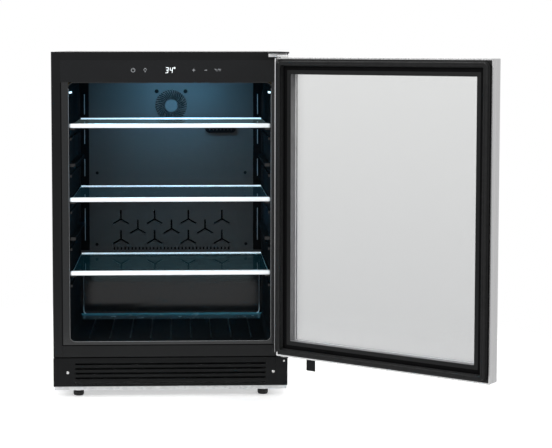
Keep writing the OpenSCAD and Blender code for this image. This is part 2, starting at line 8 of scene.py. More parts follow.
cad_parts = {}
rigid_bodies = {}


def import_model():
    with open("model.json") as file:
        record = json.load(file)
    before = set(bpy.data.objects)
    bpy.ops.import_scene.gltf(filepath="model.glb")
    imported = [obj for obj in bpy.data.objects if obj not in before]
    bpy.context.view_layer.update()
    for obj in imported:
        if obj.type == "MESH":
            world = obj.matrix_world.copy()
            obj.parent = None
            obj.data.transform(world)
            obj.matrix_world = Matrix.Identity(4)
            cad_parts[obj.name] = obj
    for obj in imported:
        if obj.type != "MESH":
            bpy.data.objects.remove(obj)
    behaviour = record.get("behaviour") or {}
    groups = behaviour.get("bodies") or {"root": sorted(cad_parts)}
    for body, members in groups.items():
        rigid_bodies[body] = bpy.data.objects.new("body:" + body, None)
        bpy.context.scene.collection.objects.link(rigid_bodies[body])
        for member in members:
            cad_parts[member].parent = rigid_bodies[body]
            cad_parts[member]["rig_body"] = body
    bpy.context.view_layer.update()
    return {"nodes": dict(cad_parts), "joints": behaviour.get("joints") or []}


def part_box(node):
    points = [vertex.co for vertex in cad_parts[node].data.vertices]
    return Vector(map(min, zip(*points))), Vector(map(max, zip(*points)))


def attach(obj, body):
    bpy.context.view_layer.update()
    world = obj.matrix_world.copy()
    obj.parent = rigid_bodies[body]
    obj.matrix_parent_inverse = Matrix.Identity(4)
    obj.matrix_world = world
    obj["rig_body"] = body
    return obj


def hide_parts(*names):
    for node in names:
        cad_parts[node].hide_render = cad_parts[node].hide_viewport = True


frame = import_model()

MM = 0.001
NODES = frame["nodes"]
SLOT_OF = {n: o.material_slots[0].material.name for n, o in NODES.items()}

HINGE = next(j for j in frame["joints"] if j["name"] == "door_hinge")
PIN = Vector(HINGE["pos_m"])
OPEN = (
    Matrix.Translation(PIN)
    @ Matrix.Rotation(math.radians(-HINGE["range_deg"][0]), 4, "Z")
    @ Matrix.Translation(-PIN)
)
CLOSED = OPEN.inverted()
BODY_OF = {n: o["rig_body"] for n, o in NODES.items()}


def closed_box(node):
    """Corners of a door node as if the door were shut."""
    co = [CLOSED @ v.co for v in NODES[node].data.vertices]
    lo = Vector([min(c[i] for c in co) for i in range(3)])
    hi = Vector([max(c[i] for c in co) for i in range(3)])
    return lo, hi


# ---------------------------------------------------------------- studio

PAPER_WHITE = (1, 1, 1, 1)
LIGHT_LEVEL = (0.72, 1.0)


def add_node(nt, kind, **values):
    """A new shader node; an underscore in a keyword stands for a space in the socket's name."""
    made = nt.nodes.new("ShaderNode" + kind)
    for socket, value in values.items():
        made.inputs[socket.replace("_", " ")].default_value = value
    return made


def studio_world():
    """White where it is seen directly or through glass, softer from the front as a light."""
    world = bpy.data.worlds.new("studio_world")
    bpy.context.scene.world = world
    world.use_nodes = True
    wt = world.node_tree
    wt.nodes.clear()
    out = add_node(wt, "OutputWorld")
    mix = add_node(wt, "MixShader")
    seen = add_node(wt, "Background", Color=PAPER_WHITE)
    light = add_node(wt, "Background")
    path = add_node(wt, "LightPath")
    coord = add_node(wt, "TexCoord")
    axes = add_node(wt, "SeparateXYZ")
    level = add_node(wt, "MapRange", From_Min=-0.9, From_Max=0.5, To_Min=LIGHT_LEVEL[0],
                     To_Max=LIGHT_LEVEL[1])
    direct = add_node(wt, "Math")
    direct.operation = "MAXIMUM"
    wt.links.new(coord.outputs["Generated"], axes.inputs[0])
    wt.links.new(axes.outputs["Y"], level.inputs["Value"])
    wt.links.new(level.outputs["Result"], light.inputs["Strength"])
    wt.links.new(path.outputs["Is Camera Ray"], direct.inputs[0])
    wt.links.new(path.outputs["Is Transmission Ray"], direct.inputs[1])
    wt.links.new(direct.outputs[0], mix.inputs["Fac"])
    wt.links.new(light.outputs[0], mix.inputs[1])
    wt.links.new(seen.outputs[0], mix.inputs[2])
    wt.links.new(mix.outputs[0], out.inputs["Surface"])


studio_world()
bpy.context.scene.view_settings.view_transform = "Standard"

CAM_POS = Vector((0.0306, -4.180, 0.8913))
CAM_YAW = 0.0356
CAM_DOWN = 0.0719
CAM_SHIFT = (0.07, -0.12)
PHOTO_W = 552
FOCAL_PX = 1550.9
SENSOR_MM = 36.0

cam_data = bpy.data.cameras.new("camera")
camera = bpy.data.objects.new("camera", cam_data)
bpy.context.scene.collection.objects.link(camera)
camera.location = CAM_POS
look = Vector((
    math.sin(CAM_YAW) * math.cos(CAM_DOWN),
    math.cos(CAM_YAW) * math.cos(CAM_DOWN),
    -math.sin(CAM_DOWN),
))
camera.rotation_mode = "QUATERNION"
camera.rotation_quaternion = look.to_track_quat("-Z", "Y")
cam_data.sensor_width = SENSOR_MM
cam_data.lens = FOCAL_PX / PHOTO_W * SENSOR_MM
cam_data.shift_x, cam_data.shift_y = CAM_SHIFT
cam_data.clip_end = 100.0
bpy.context.scene.camera = camera


def area_light(name, place, aim, size, power, colour=(1, 1, 1), size_y=None):
    data = bpy.data.lights.new(name, "AREA")
    data.shape = "RECTANGLE"
    data.size = size
    data.size_y = size_y or size
    data.energy = power
    data.color = colour
    light = bpy.data.objects.new(name, data)
    bpy.context.scene.collection.objects.link(light)
    light.location = place
    light.rotation_mode = "QUATERNION"
    light.rotation_quaternion = (Vector(aim) - Vector(place)).to_track_quat("-Z", "Y")
    return light


area_light("softbox_left", (-2.6, -2.6, 2.4), (0, 0, 0.45), 1.8, 60)
area_light("softbox_right", (2.8, -2.0, 1.9), (0.2, -0.2, 0.45), 1.6, 35)
area_light("softbox_top", (0.2, 0.3, 3.2), (0.2, -0.1, 0), 2.4, 70)
area_light("softbox_back", (0.4, 3.0, 2.0), (0.2, 0, 0.5), 2.0, 14)

lamp_lo, lamp_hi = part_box("led_lamps")
LAMP_COLOUR = (0.26, 0.66, 1.0)
LAMP_POWER = 0.9
WASH_POWER = 1.08


def hidden_lamp(name, place, aim, size, power, size_y, angle):
    """A lamp that lights the compartment and is not seen, not even in a reflection."""
    lamp = area_light(name, place, aim, size, power, LAMP_COLOUR, size_y)
    lamp.data.spread = math.radians(angle)
    lamp.visible_camera = False
    lamp.visible_glossy = False


for side in (-1, 1):
    place = Vector((side * (lamp_hi.x - 6 * MM), (lamp_lo.y + lamp_hi.y) / 2,
                    (lamp_lo.z + lamp_hi.z) / 2))
    hidden_lamp(f"lamp_{side}", place, place + Vector((-side, 0.25, -0.5)), 36 * MM, LAMP_POWER,
                4 * MM, 110)
hidden_lamp("lamp_wash", (0.02, -0.07, 0.790), (0.02, 0.16, 0.700), 0.24, WASH_POWER, 0.02, 130)

# ---------------------------------------------------------------- materials


def tree(name):
    m = bpy.data.materials.new(name)
    m.use_nodes = True
    nt = m.node_tree
    nt.nodes.clear()
    out = add_node(nt, "OutputMaterial")
    bsdf = add_node(nt, "BsdfPrincipled")
    nt.links.new(bsdf.outputs[0], out.inputs["Surface"])
    return m, nt, bsdf


def noise(nt, scale, stretch=(1, 1, 1), detail=4.0, kind="noise", seed=0.0):
    """A noise or cell texture in the row frame, in features per metre."""
    coord = add_node(nt, "TexCoord")
    mapping = add_node(nt, "Mapping", Scale=stretch, Location=(seed, seed * 0.7, seed * 0.3))
    nt.links.new(coord.outputs["Object"], mapping.inputs["Vector"])
    if kind == "cells":
        tex = add_node(nt, "TexVoronoi", Scale=scale)
        result = "Color"
    else:
        tex = add_node(nt, "TexNoise", Scale=scale, Detail=detail)
        result = "Fac"
    nt.links.new(mapping.outputs[0], tex.inputs["Vector"])
    return tex.outputs[result]


def spread(nt, source, lo, hi, frm=(0.3, 0.7)):
    """Maps a value in frm to the range from lo to hi."""
    made = add_node(nt, "MapRange", From_Min=frm[0], From_Max=frm[1], To_Min=lo, To_Max=hi)
    nt.links.new(source, made.inputs["Value"])
    return made.outputs["Result"]


def two_tone(nt, source, a, b):
    """Blends from colour a to colour b."""
    made = add_node(nt, "Mix")
    made.data_type = "RGBA"
    nt.links.new(source, made.inputs["Factor"])
    made.inputs["A"].default_value = (*a, 1)
    made.inputs["B"].default_value = (*b, 1)
    return made.outputs["Result"]


def scaled(colour, k):
    return tuple(min(c * k, 1.0) for c in colour)


def surface(slot, colour, rough, metallic=0.0, vary=0.12, cloud=14.0, rough_vary=0.08,
            grain=900.0, bump=0.10, depth=0.00004, stretch=(1, 1, 1), coat=0.0, specular=0.5,
            kind="noise", tint=None, clear=0.0, ior=1.5, glow=None, glow_power=0.0,
            facing=None, fade=None):
    """Principled surface whose colour clouds, roughness and grain all vary over the surface.
    With fade, two pairs of height and colour, the colour is None."""
    m, nt, bsdf = tree(slot)
    if fade:
        # a colour that changes slowly with height
        (z0, low), (z1, high) = fade
        coord = add_node(nt, "TexCoord")
        axes = add_node(nt, "SeparateXYZ")
        nt.links.new(coord.outputs["Object"], axes.inputs[0])
        level = spread(nt, axes.outputs["Z"], 0.0, 1.0, (z0, z1))
    else:
        low, high = scaled(colour, 1 - vary), tint or scaled(colour, 1 + vary)
        clouds = noise(nt, cloud, stretch, 5.0, kind, 3.1)
        level = spread(nt, clouds, 0.0, 1.0, (0.25, 0.75))
    nt.links.new(two_tone(nt, level, low, high), bsdf.inputs["Base Color"])
    patches = noise(nt, cloud * 2.3, stretch, 3.0, "noise", 8.7)
    nt.links.new(
        spread(nt, patches, max(rough - rough_vary, 0.0), min(rough + rough_vary, 1.0)),
        bsdf.inputs["Roughness"],
    )
    fine = noise(nt, grain, stretch, 2.0, "noise", 1.3)
    relief = add_node(nt, "Bump", Strength=bump, Distance=depth)
    nt.links.new(fine, relief.inputs["Height"])
    nt.links.new(relief.outputs[0], bsdf.inputs["Normal"])
    bsdf.inputs["Metallic"].default_value = metallic
    bsdf.inputs["Specular IOR Level"].default_value = specular
    if facing is not None:
        # glossier where the surface looks out of the front than on the sides and the top
        geometry = add_node(nt, "NewGeometry")
        axes = add_node(nt, "SeparateXYZ")
        nt.links.new(geometry.outputs["Normal"], axes.inputs[0])
        nt.links.new(spread(nt, axes.outputs["Y"], facing, specular, (-0.9, -0.3)),
                     bsdf.inputs["Specular IOR Level"])
    bsdf.inputs["Coat Weight"].default_value = coat
    bsdf.inputs["Coat Roughness"].default_value = 0.08
    bsdf.inputs["Transmission Weight"].default_value = clear
    bsdf.inputs["IOR"].default_value = ior
    if glow:
        bsdf.inputs["Emission Color"].default_value = (*glow, 1)
        bsdf.inputs["Emission Strength"].default_value = glow_power
    return m


CLEAR_GLASS = dict(colour=(0.50, 0.76, 0.80), rough=0.012, vary=0.05, rough_vary=0.01, cloud=6,
                   grain=10, bump=0.03, depth=0.0002, clear=1.0, ior=1.5)
MAT = {
    "body_paint": surface("body_paint", (0.0052, 0.0056, 0.0060), 0.38, specular=0.20, vary=0.10,
                          rough_vary=0.015, grain=1500, bump=0.12),
    "plinth_paint": surface("plinth_paint", (0.0034, 0.0038, 0.0042), 0.42, specular=0.13, vary=0.2,
                            grain=1500, bump=0.12),
    "compressor_paint": surface("compressor_paint", (0.012, 0.012, 0.012), 0.22, coat=0.4,
                                vary=0.3, grain=240, bump=0.2, depth=0.0002),
    "galvanised": surface("galvanised", (0.44, 0.45, 0.46), 0.40, metallic=0.75, vary=0.16,
                          cloud=130, kind="cells", grain=600, bump=0.06),
    "screw_steel": surface("screw_steel", (0.62, 0.62, 0.61), 0.26, metallic=1.0, vary=0.1,
                           cloud=300, grain=2500, bump=0.1),
    "liner_plastic": surface("liner_plastic", (0.0060, 0.0070, 0.0078), 0.13, specular=0.0,
                             facing=0.62, vary=0.15, rough_vary=0.03, cloud=9, grain=1300,
                             bump=0.03),
    "foam": surface("foam", (0.72, 0.60, 0.30), 0.92, vary=0.16, cloud=60, kind="cells",
                    grain=420, bump=0.8, depth=0.0008, specular=0.2),
    "control_gloss": surface("control_gloss", (0.0062, 0.0068, 0.0078), 0.18, specular=0.30,
                             vary=0.12, rough_vary=0.04, grain=1800, bump=0.03),
    "display_window": surface("display_window", (0.0052, 0.0056, 0.0064), 0.10, specular=0.32,
                              vary=0.15, rough_vary=0.03, grain=900, bump=0.02),
    "circuit_board": surface("circuit_board", (0.010, 0.085, 0.030), 0.35, vary=0.35, cloud=180,
                             kind="cells", grain=900, bump=0.5, depth=0.0002, coat=0.3),
    "led_lens": surface("led_lens", (0.85, 0.93, 1.0), 0.35, vary=0.04, cloud=60, grain=900,
                        glow=(0.55, 0.83, 1.0), glow_power=1.6),
    "coil_aluminium": surface("coil_aluminium", (0.66, 0.67, 0.68), 0.32, metallic=1.0, vary=0.12,
                              cloud=90, grain=900, bump=0.2),
    "condenser_paint": surface("condenser_paint", (0.03, 0.031, 0.033), 0.45, vary=0.3, cloud=70,
                               grain=700, bump=0.3),
    "black_plastic": surface("black_plastic", (0.012, 0.012, 0.013), 0.45, vary=0.2, cloud=30,
                             grain=1400, bump=0.25, specular=0.4),
    "fan_plastic": surface("fan_plastic", (0.028, 0.028, 0.030), 0.40, vary=0.2, cloud=40,
                           grain=1400, bump=0.15),
    "white_plastic": surface("white_plastic", (0.76, 0.76, 0.73), 0.38, vary=0.06, cloud=30,
                             grain=1200, bump=0.12),
    "copper": surface("copper", (0.72, 0.34, 0.19), 0.28, metallic=1.0, vary=0.2, cloud=80,
                      grain=900, bump=0.1, tint=(0.45, 0.20, 0.12)),
    "rubber": surface("rubber", (0.012, 0.012, 0.012), 0.85, vary=0.2, cloud=60, grain=900,
                      bump=0.4, depth=0.0001, specular=0.25),
    "foot_rubber": surface("foot_rubber", (0.010, 0.010, 0.010), 0.6, vary=0.25, cloud=90,
                           grain=1100, bump=0.3, specular=0.3),
    "gasket_rubber": surface("gasket_rubber", (0.0085, 0.0088, 0.0092), 0.62, vary=0.15, cloud=40,
                             grain=1400, bump=0.12, specular=0.22),
    "door_plastic": surface("door_plastic", (0.0050, 0.0054, 0.0058), 0.38, vary=0.12, cloud=25,
                            rough_vary=0.03, grain=1500, bump=0.05, specular=0.20),
    "stainless": surface("stainless", (0.60, 0.60, 0.605), 0.27, metallic=1.0, vary=0.05,
                         rough_vary=0.06, cloud=24, grain=700, bump=0.16, depth=0.00003,
                         stretch=(3.0, 3.0, 0.02)),
    # The door glass fades darker towards the bottom: painted shade in the glass.
    "door_glass": surface("door_glass", None, 0.012, rough_vary=0.008, cloud=5, grain=12,
                          bump=0.02, depth=0.0002, clear=1.0, ior=1.5,
                          fade=((0.14, (0.765, 0.769, 0.772)), (0.84, (0.856, 0.860, 0.858)))),
    "spacer_grey": surface("spacer_grey", (0.72, 0.72, 0.73), 0.42, metallic=0.2, vary=0.06,
                           cloud=60, grain=900, bump=0.15),
    "shelf_glass": surface("shelf_glass", **CLEAR_GLASS),
    # The shelf trims' glow is painted light that makes them read brighter; they are no lamp.
    "shelf_trim": surface("shelf_trim", (0.88, 0.90, 0.91), 0.20, vary=0.03, cloud=40, grain=900,
                          bump=0.05, coat=0.5, glow=(0.9, 0.97, 1.0), glow_power=0.25),
}
# The duct face is warmer towards the bottom and bluer towards the top: a painted tint of the blue
# lamp light from above.
DUCT = surface("duct_face", None, 0.34, specular=0.28, rough_vary=0.04, cloud=9, grain=1300,
               bump=0.04,
               fade=((0.58, (0.028, 0.0235, 0.0225)), (0.76, (0.0225, 0.0265, 0.028))))
SENSOR = surface("sensor_cover", (0.0016, 0.0016, 0.002), 0.40, specular=0.07, vary=0.2,
                 grain=1300, bump=0.06)
# Near-black for the real screw plugs, and painted shade for the channels, gaps and joints it is put
# on.
BLACK_AND_PAINTED_SHADE = surface("black_plug_and_painted_shade", (0.0015, 0.0015, 0.0018), 0.6, specular=0.06, vary=0.2, grain=1300,
               bump=0.1)
SHADE = surface("fan_shade", (0.0004, 0.0004, 0.0005), 0.9, specular=0.0, vary=0.2, grain=1300,
                bump=0.1)
LIP_GREY = surface("lip_wall", (0.15, 0.15, 0.155), 0.5, vary=0.1, cloud=40, grain=1300, bump=0.08)
# The zinc plate's glow is painted light that brightens the hinge bracket.
ZINC_PAINTED_GLOW = surface("zinc_plate", (0.92, 0.92, 0.93), 0.5, metallic=0.1, vary=0.06, cloud=110,
               grain=900, bump=0.08, glow=(1.0, 1.0, 1.0), glow_power=0.10)
PAN = surface("pan_sheet", (0.62, 0.625, 0.63), 0.40, metallic=0.6, vary=0.08, cloud=130,
              kind="cells", grain=600, bump=0.06)
HUB = surface("fan_hub", (0.034, 0.039, 0.042), 0.34, specular=0.35, vary=0.12, grain=1300,
              bump=0.05)
# Finishes for single nodes, and the painted glow of lamp light that each glass shelf carries
FINISH = {
    "evaporator_fan": SHADE, "evaporator_fan_motor": SHADE, "duct_panel": DUCT,
    "sensor_cover": SENSOR, "top_hinge_bracket": ZINC_PAINTED_GLOW, "base_pan": PAN,
}
SHELF_PAINTED_GLOW = ((0.020, 0.026, 0.026), (0.0018, 0.0060, 0.0090), (0.0004, 0.0036, 0.0052))
for k, glow in enumerate(SHELF_PAINTED_GLOW, 1):
    name = f"shelf_{k}_glass"
    FINISH[name] = surface(name, glow=glow, glow_power=1.0, **CLEAR_GLASS)
for name, obj in NODES.items():
    obj.material_slots[0].material = FINISH.get(name, MAT[SLOT_OF[name]])

# ---------------------------------------------------------------- mesh tools


def piece(name, bm, slot, body, replaces=(), place=None, angle=40, bevel=0.0, steps=2,
          flat_angle=28, weighted=True, finish=None):
    """Turns a bmesh into a named piece on a body, with small rounded edges if asked for."""
    bmesh.ops.recalc_face_normals(bm, faces=bm.faces[:])
    if bevel:
        edges = [
            e for e in bm.edges
            if len(e.link_faces) == 2 and e.calc_face_angle(0.0) > math.radians(flat_angle)
        ]
        bmesh.ops.bevel(bm, geom=edges, offset=bevel, offset_type="OFFSET", segments=steps,
                        profile=0.5, affect="EDGES", clamp_overlap=True)
    mesh = bpy.data.meshes.new(name)
    bm.to_mesh(mesh)
    bm.free()
    if place is not None:
        mesh.transform(place)
    for p in mesh.polygons:
        p.use_smooth = True
    mesh.set_sharp_from_angle(angle=math.radians(angle))
    obj = bpy.data.objects.new(name, mesh)
    bpy.context.scene.collection.objects.link(obj)
    mesh.materials.append(finish or MAT[slot])
    if weighted:
        mod = obj.modifiers.new("weighted", "WEIGHTED_NORMAL")
        mod.keep_sharp = True
    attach(obj, body)
    if replaces:
        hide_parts(*replaces)
    return obj


def cad_mesh(node):
    """The CAD solid as a clean bmesh: one vertex per corner and one face per plane."""
    bm = bmesh.new()
    bm.from_mesh(NODES[node].data)
    bmesh.ops.remove_doubles(bm, verts=bm.verts[:], dist=1e-6)
    bmesh.ops.dissolve_limit(bm, angle_limit=math.radians(0.4), verts=bm.verts[:],
                             edges=bm.edges[:], delimit=set())
    return bm


def skin(node, bevel, steps=2, **more):
    """The CAD solid again with its sharp edges eased, in place of the CAD node."""
    return piece(node + "_skin", cad_mesh(node), SLOT_OF[node], BODY_OF[node], (node,),
                 bevel=bevel, steps=steps, finish=FINISH.get(node), **more)


def add_block(bm, x, y, z):
    """Axis-aligned block between three pairs of limits."""
    v = [bm.verts.new((a, b, c)) for a in x for b in y for c in z]
    for f in ((0, 1, 3, 2), (4, 6, 7, 5), (0, 4, 5, 1), (2, 3, 7, 6), (0, 2, 6, 4), (1, 5, 7, 3)):
        bm.faces.new([v[i] for i in f])


def add_loops(bm, loops, close_ends=True, wrap=False):
    """Skins a row of closed loops of points."""
    rings = [[bm.verts.new(p) for p in loop] for loop in loops]
    n = len(rings[0])
    pairs = list(zip(rings, rings[1:]))
    if wrap:
        pairs.append((rings[-1], rings[0]))
    for a, b in pairs:
        for i in range(n):
            j = (i + 1) % n
            bm.faces.new((a[i], a[j], b[j], b[i]))
    if close_ends and not wrap:
        bm.faces.new(rings[0][::-1])
        bm.faces.new(rings[-1])


def add_lathe(bm, profile, centre, axis="Z", sides=40):
    """Turned solid: profile is a list of (radius, distance along the axis)."""
    turn = {"Z": Matrix.Identity(3), "-Y": Matrix.Rotation(math.radians(90), 3, "X")}[axis]
    loops = []
    for r, h in profile:
        loops.append([
            Vector(centre) + turn @ Vector((r * math.cos(a), r * math.sin(a), h))
            for a in (2 * math.pi * i / sides for i in range(sides))
        ])
    add_loops(bm, loops)


def round_path(cx, cz, hw, hh, r, n=6):
    """Points of a rounded rectangle in X and Z."""
    pts = []
    for sx, sz, a0 in ((1, 1, 0), (-1, 1, 90), (-1, -1, 180), (1, -1, 270)):
        for i in range(n + 1):
            a = math.radians(a0 + 90 * i / n)
            pts.append((cx + sx * (hw - r) + r * math.cos(a), cz + sz * (hh - r) + r * math.sin(a)))
    return pts


def add_ring(bm, cx, cz, hw, hh, r, profile, n=6):
    """Closed profile of (inset, y) points run round a rounded rectangle."""
    loops = []
    for inset, y in profile:
        rr = max(r - inset, 0.0015)
        path = round_path(cx, cz, hw - inset, hh - inset, rr, n)
        loops.append([Vector((x, y, z)) for x, z in path])
    add_loops(bm, loops, wrap=True)


def add_strip(bm, points, width, y0, y1):
    """Flat stroke through points in X and Z, extruded from y0 to y1."""
    left, right = [], []
    for i, p in enumerate(points):
        a = Vector(points[max(i - 1, 0)])
        b = Vector(points[min(i + 1, len(points) - 1)])
        d = (b - a).normalized()
        n = Vector((-d.y, d.x)) * width / 2
        left.append(Vector(p) + n)
        right.append(Vector(p) - n)
    outline = left + right[::-1]
    add_loops(bm, [[Vector((p.x, y, p.y)) for p in outline] for y in (y0, y1)])


def add_tube(bm, points, radius, sides=10):
    """Round bar through points."""
    pts = [Vector(p) for p in points]
    loops = []
    up = Vector((0.13, 0.21, 0.97))
    for i, p in enumerate(pts):
        d = (pts[min(i + 1, len(pts) - 1)] - pts[max(i - 1, 0)]).normalized()
        u = d.cross(up).normalized()
        v = d.cross(u)
        loops.append([p + (u * math.cos(a) + v * math.sin(a)) * radius
                      for a in (2 * math.pi * k / sides for k in range(sides))])
    add_loops(bm, loops)


# ---------------------------------------------------------------- eased sheet and plastic

for node, width in (
    ("cabinet_shell", 0.0006), ("bottom_rail", 0.0006), ("control_panel", 0.0012),
    ("toe_grille", 0.0005), ("base_pan", 0.0005), ("top_hinge_bracket", 0.0004),
    ("bottom_hinge_bracket", 0.0004), ("top_hinge_cover", 0.0006), ("door_stop", 0.0004),
    ("door_inner_frame", 0.0008), ("door_outer_frame", 0.0005), ("duct_panel", 0.0003),
    ("sensor_cover", 0.0008), ("inner_liner", 0.0007), ("drain_pan", 0.0006),
    ("compressor_relay", 0.001), ("condenser_shroud", 0.0005), ("power_inlet", 0.0004),
    ("back_panel", 0.0003), ("machine_cover", 0.0003), ("condenser_fan", 0.0003),
    ("evaporator_fan", 0.0003), ("shelf_1_glass", 0.0008), ("shelf_2_glass", 0.0008),
    ("shelf_3_glass", 0.0008),
):
    made = skin(node, width)
    if SLOT_OF[node] == "shelf_glass":
        made.visible_shadow = False
for node in ("inner_glass", "outer_glass"):
    NODES[node].visible_shadow = False

# ---------------------------------------------------------------- floor


def studio_floor():
    """White paper that thins out to nothing, so that no edge or horizon shows."""
    m, nt, bsdf = tree("floor")
    clouds = noise(nt, 0.8, detail=3.0)
    nt.links.new(two_tone(nt, clouds, (0.93, 0.93, 0.93), (0.96, 0.96, 0.96)),
                 bsdf.inputs["Base Color"])
    bsdf.inputs["Roughness"].default_value = 0.7
    bsdf.inputs["Specular IOR Level"].default_value = 0.2
    bsdf.inputs["Emission Color"].default_value = PAPER_WHITE
    bsdf.inputs["Emission Strength"].default_value = 0.28
    coord = add_node(nt, "TexCoord")
    reach = add_node(nt, "VectorMath")
    reach.operation = "LENGTH"
    nt.links.new(coord.outputs["Object"], reach.inputs[0])
    nt.links.new(spread(nt, reach.outputs["Value"], 1.0, 0.0, (0.55, 1.25)), bsdf.inputs["Alpha"])
    bm = bmesh.new()
    bmesh.ops.create_circle(bm, cap_ends=True, segments=64, radius=2.0)
    mesh = bpy.data.meshes.new("floor")
    bm.to_mesh(mesh)
    bm.free()
    mesh.materials.append(m)
    obj = bpy.data.objects.new("floor", mesh)
    bpy.context.scene.collection.objects.link(obj)
    obj.location.z = -0.0005
    obj.visible_transmission = False


studio_floor()

# ---------------------------------------------------------------- controls

PRINT = surface("print", (0.30, 0.31, 0.32), 0.5, vary=0.1, grain=1500, bump=0.05,
                glow=(0.8, 0.9, 1.0), glow_power=0.06)
LIT = surface("lit_digits", (0.9, 0.95, 1.0), 0.4, vary=0.05, grain=1500, bump=0.02,
              glow=(0.92, 0.97, 1.0), glow_power=0.95)
lens_lo, lens_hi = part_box("display_lens")
LENS_Z = (lens_lo.z + lens_hi.z) / 2
PRINT_Y = (lens_lo.y - 0.00012, lens_lo.y + 0.0002)


def stroke(bm, points, width, dx=0.0, slant=0.0):
    """A pen stroke in millimetres from the middle of the display."""
    path = [((x + dx + slant * z) * MM, LENS_Z + z * MM) for x, z in points]
    add_strip(bm, path, width * MM, *PRINT_Y)


def arc(cx, cz, r, a0, a1, n=20):
    return [(cx + r * math.cos(math.radians(a0 + (a1 - a0) * i / n)),
             cz + r * math.sin(math.radians(a0 + (a1 - a0) * i / n))) for i in range(n + 1)]


bm = bmesh.new()
SLANT = 0.12
for points in (((-3, 6.6), (3, 6.6)), ((-2, 0), (3, 0)), ((-3, -6.6), (3, -6.6)),
               ((3, 6.3), (3, 0.3)), ((3, -0.3), (3, -6.3))):
    stroke(bm, points, 1.25, -7.4, SLANT)
for points in (((-3, 6.6), (-3, 0.3)), ((-3, 0), (3, 0)), ((3, 6.6), (3, 0.3)),
               ((3, -0.3), (3, -6.6))):
    stroke(bm, points, 1.25, 3.4, SLANT)
stroke(bm, arc(11.6, 5.6, 1.8, 0, 359, 24), 1.2)
piece("display_digits", bm, "led_lens", "cabinet", finish=LIT)

bm = bmesh.new()
stroke(bm, arc(-92, 0, 4.6, 115, 425, 28), 1.3)
stroke(bm, ((-92, 1.2), (-92, 6.0)), 1.3)
stroke(bm, arc(-62, 1.4, 3.0, -50, 230, 24), 1.1)
stroke(bm, ((-63.6, -2.6), (-60.4, -2.6)), 1.0)
stroke(bm, ((-63.2, -4.4), (-60.8, -4.4)), 1.0)
stroke(bm, ((56.4, 0), (63.6, 0)), 1.4)
stroke(bm, ((60, -3.6), (60, 3.6)), 1.4)
stroke(bm, ((87, 0), (93.4, 0)), 1.4)
stroke(bm, arc(114, 2.0, 0.9, 0, 359, 16), 0.7)
stroke(bm, arc(117.4, 0, 2.1, 60, 300, 16), 0.8)
stroke(bm, ((119.8, -2.8), (121.8, 2.8)), 0.7)
stroke(bm, arc(123.4, 2.0, 0.9, 0, 359, 16), 0.7)
stroke(bm, ((125.8, -2.6), (125.8, 2.4), (128.4, 2.4)), 0.8)
stroke(bm, ((125.8, 0.1), (127.8, 0.1)), 0.8)
piece("touch_symbols", bm, "white_plastic", "cabinet", finish=PRINT)

# ---------------------------------------------------------------- rear duct panel

duct_lo, duct_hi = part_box("duct_panel")
CAVITY_X = lamp_hi.x + 0.2 * MM
FAN_Z = Vector(next(j for j in frame["joints"] if j["name"] == "evaporator_fan_spin")["pos_m"]).z

bm = bmesh.new()
add_lathe(bm, [(0.0002, 1.6 * MM), (9 * MM, 1.5 * MM), (14.5 * MM, 1.1 * MM), (17 * MM, 0.5 * MM),
               (17.6 * MM, -0.6 * MM), (0.0002, -0.6 * MM)],
          (0, duct_lo.y, FAN_Z), "-Y", 48)
for k in range(-2, 3):
    half = math.sqrt(13 ** 2 - (k * 4.5) ** 2) * MM
    add_block(bm, (-half, half), (duct_lo.y - 2.0 * MM, duct_lo.y - 1.0 * MM),
              (FAN_Z + (k * 4.5 - 0.7) * MM, FAN_Z + (k * 4.5 + 0.7) * MM))
piece("fan_grille_hub", bm, "liner_plastic", "cabinet", weighted=False, finish=HUB)

bm = bmesh.new()
add_ring(bm, 0, FAN_Z, 46 * MM, 46 * MM, 46 * MM,
         [(0, duct_lo.y + 0.3 * MM), (0, duct_lo.y - 0.3 * MM), (0.4 * MM, duct_lo.y - 0.6 * MM),
          (1.0 * MM, duct_lo.y - 0.6 * MM), (1.4 * MM, duct_lo.y - 0.3 * MM),
          (1.4 * MM, duct_lo.y + 0.3 * MM)], n=12)
piece("fan_grille_ring", bm, "liner_plastic", "cabinet", finish=DUCT)

# Near-black strips in the channels that run down both sides of the raised part of the duct panel:
# painted shade in the recess
RAISED = 228 * MM
CHANNEL_Z = (322 * MM, 796 * MM)
bm = bmesh.new()
for side in (-1, 1):
    x0, x1 = side * (RAISED + 0.6 * MM), side * (CAVITY_X - 0.6 * MM)
    face = duct_lo.y + 3 * MM
    steps = [(x0, face + 0.3 * MM), (x0, face - 0.5 * MM), (x0 + side * 1.5 * MM, face - 0.9 * MM),
             (x1 - side * 1.5 * MM, face - 0.9 * MM), (x1, face - 0.5 * MM), (x1, face + 0.3 * MM)]
    add_loops(bm, [[(x, y, z) for x, y in steps] for z in CHANNEL_Z])
piece("duct_side_channels", bm, "liner_plastic", "cabinet", finish=BLACK_AND_PAINTED_SHADE)

bm = bmesh.new()
for x, z, r in ((-40, FAN_Z / MM + 40, 5.6), (40, FAN_Z / MM + 40, 5.6), (-206, 539, 4.2),
                (206, 539, 4.2), (-208, 339, 4.2), (208, 339, 4.2)):
    add_lathe(bm, [(0.0003, 0.5 * MM), (r * 0.35 * MM, 0.5 * MM), (r * 0.5 * MM, 0.8 * MM),
                   (r * 0.85 * MM, 0.9 * MM), (r * MM, 0.2 * MM), (r * MM, -0.5 * MM),
                   (0.0003, -0.5 * MM)],
              (x * MM, duct_lo.y, z * MM), "-Y", 24)
piece("duct_screw_plugs", bm, "black_plastic", "cabinet", finish=BLACK_AND_PAINTED_SHADE)

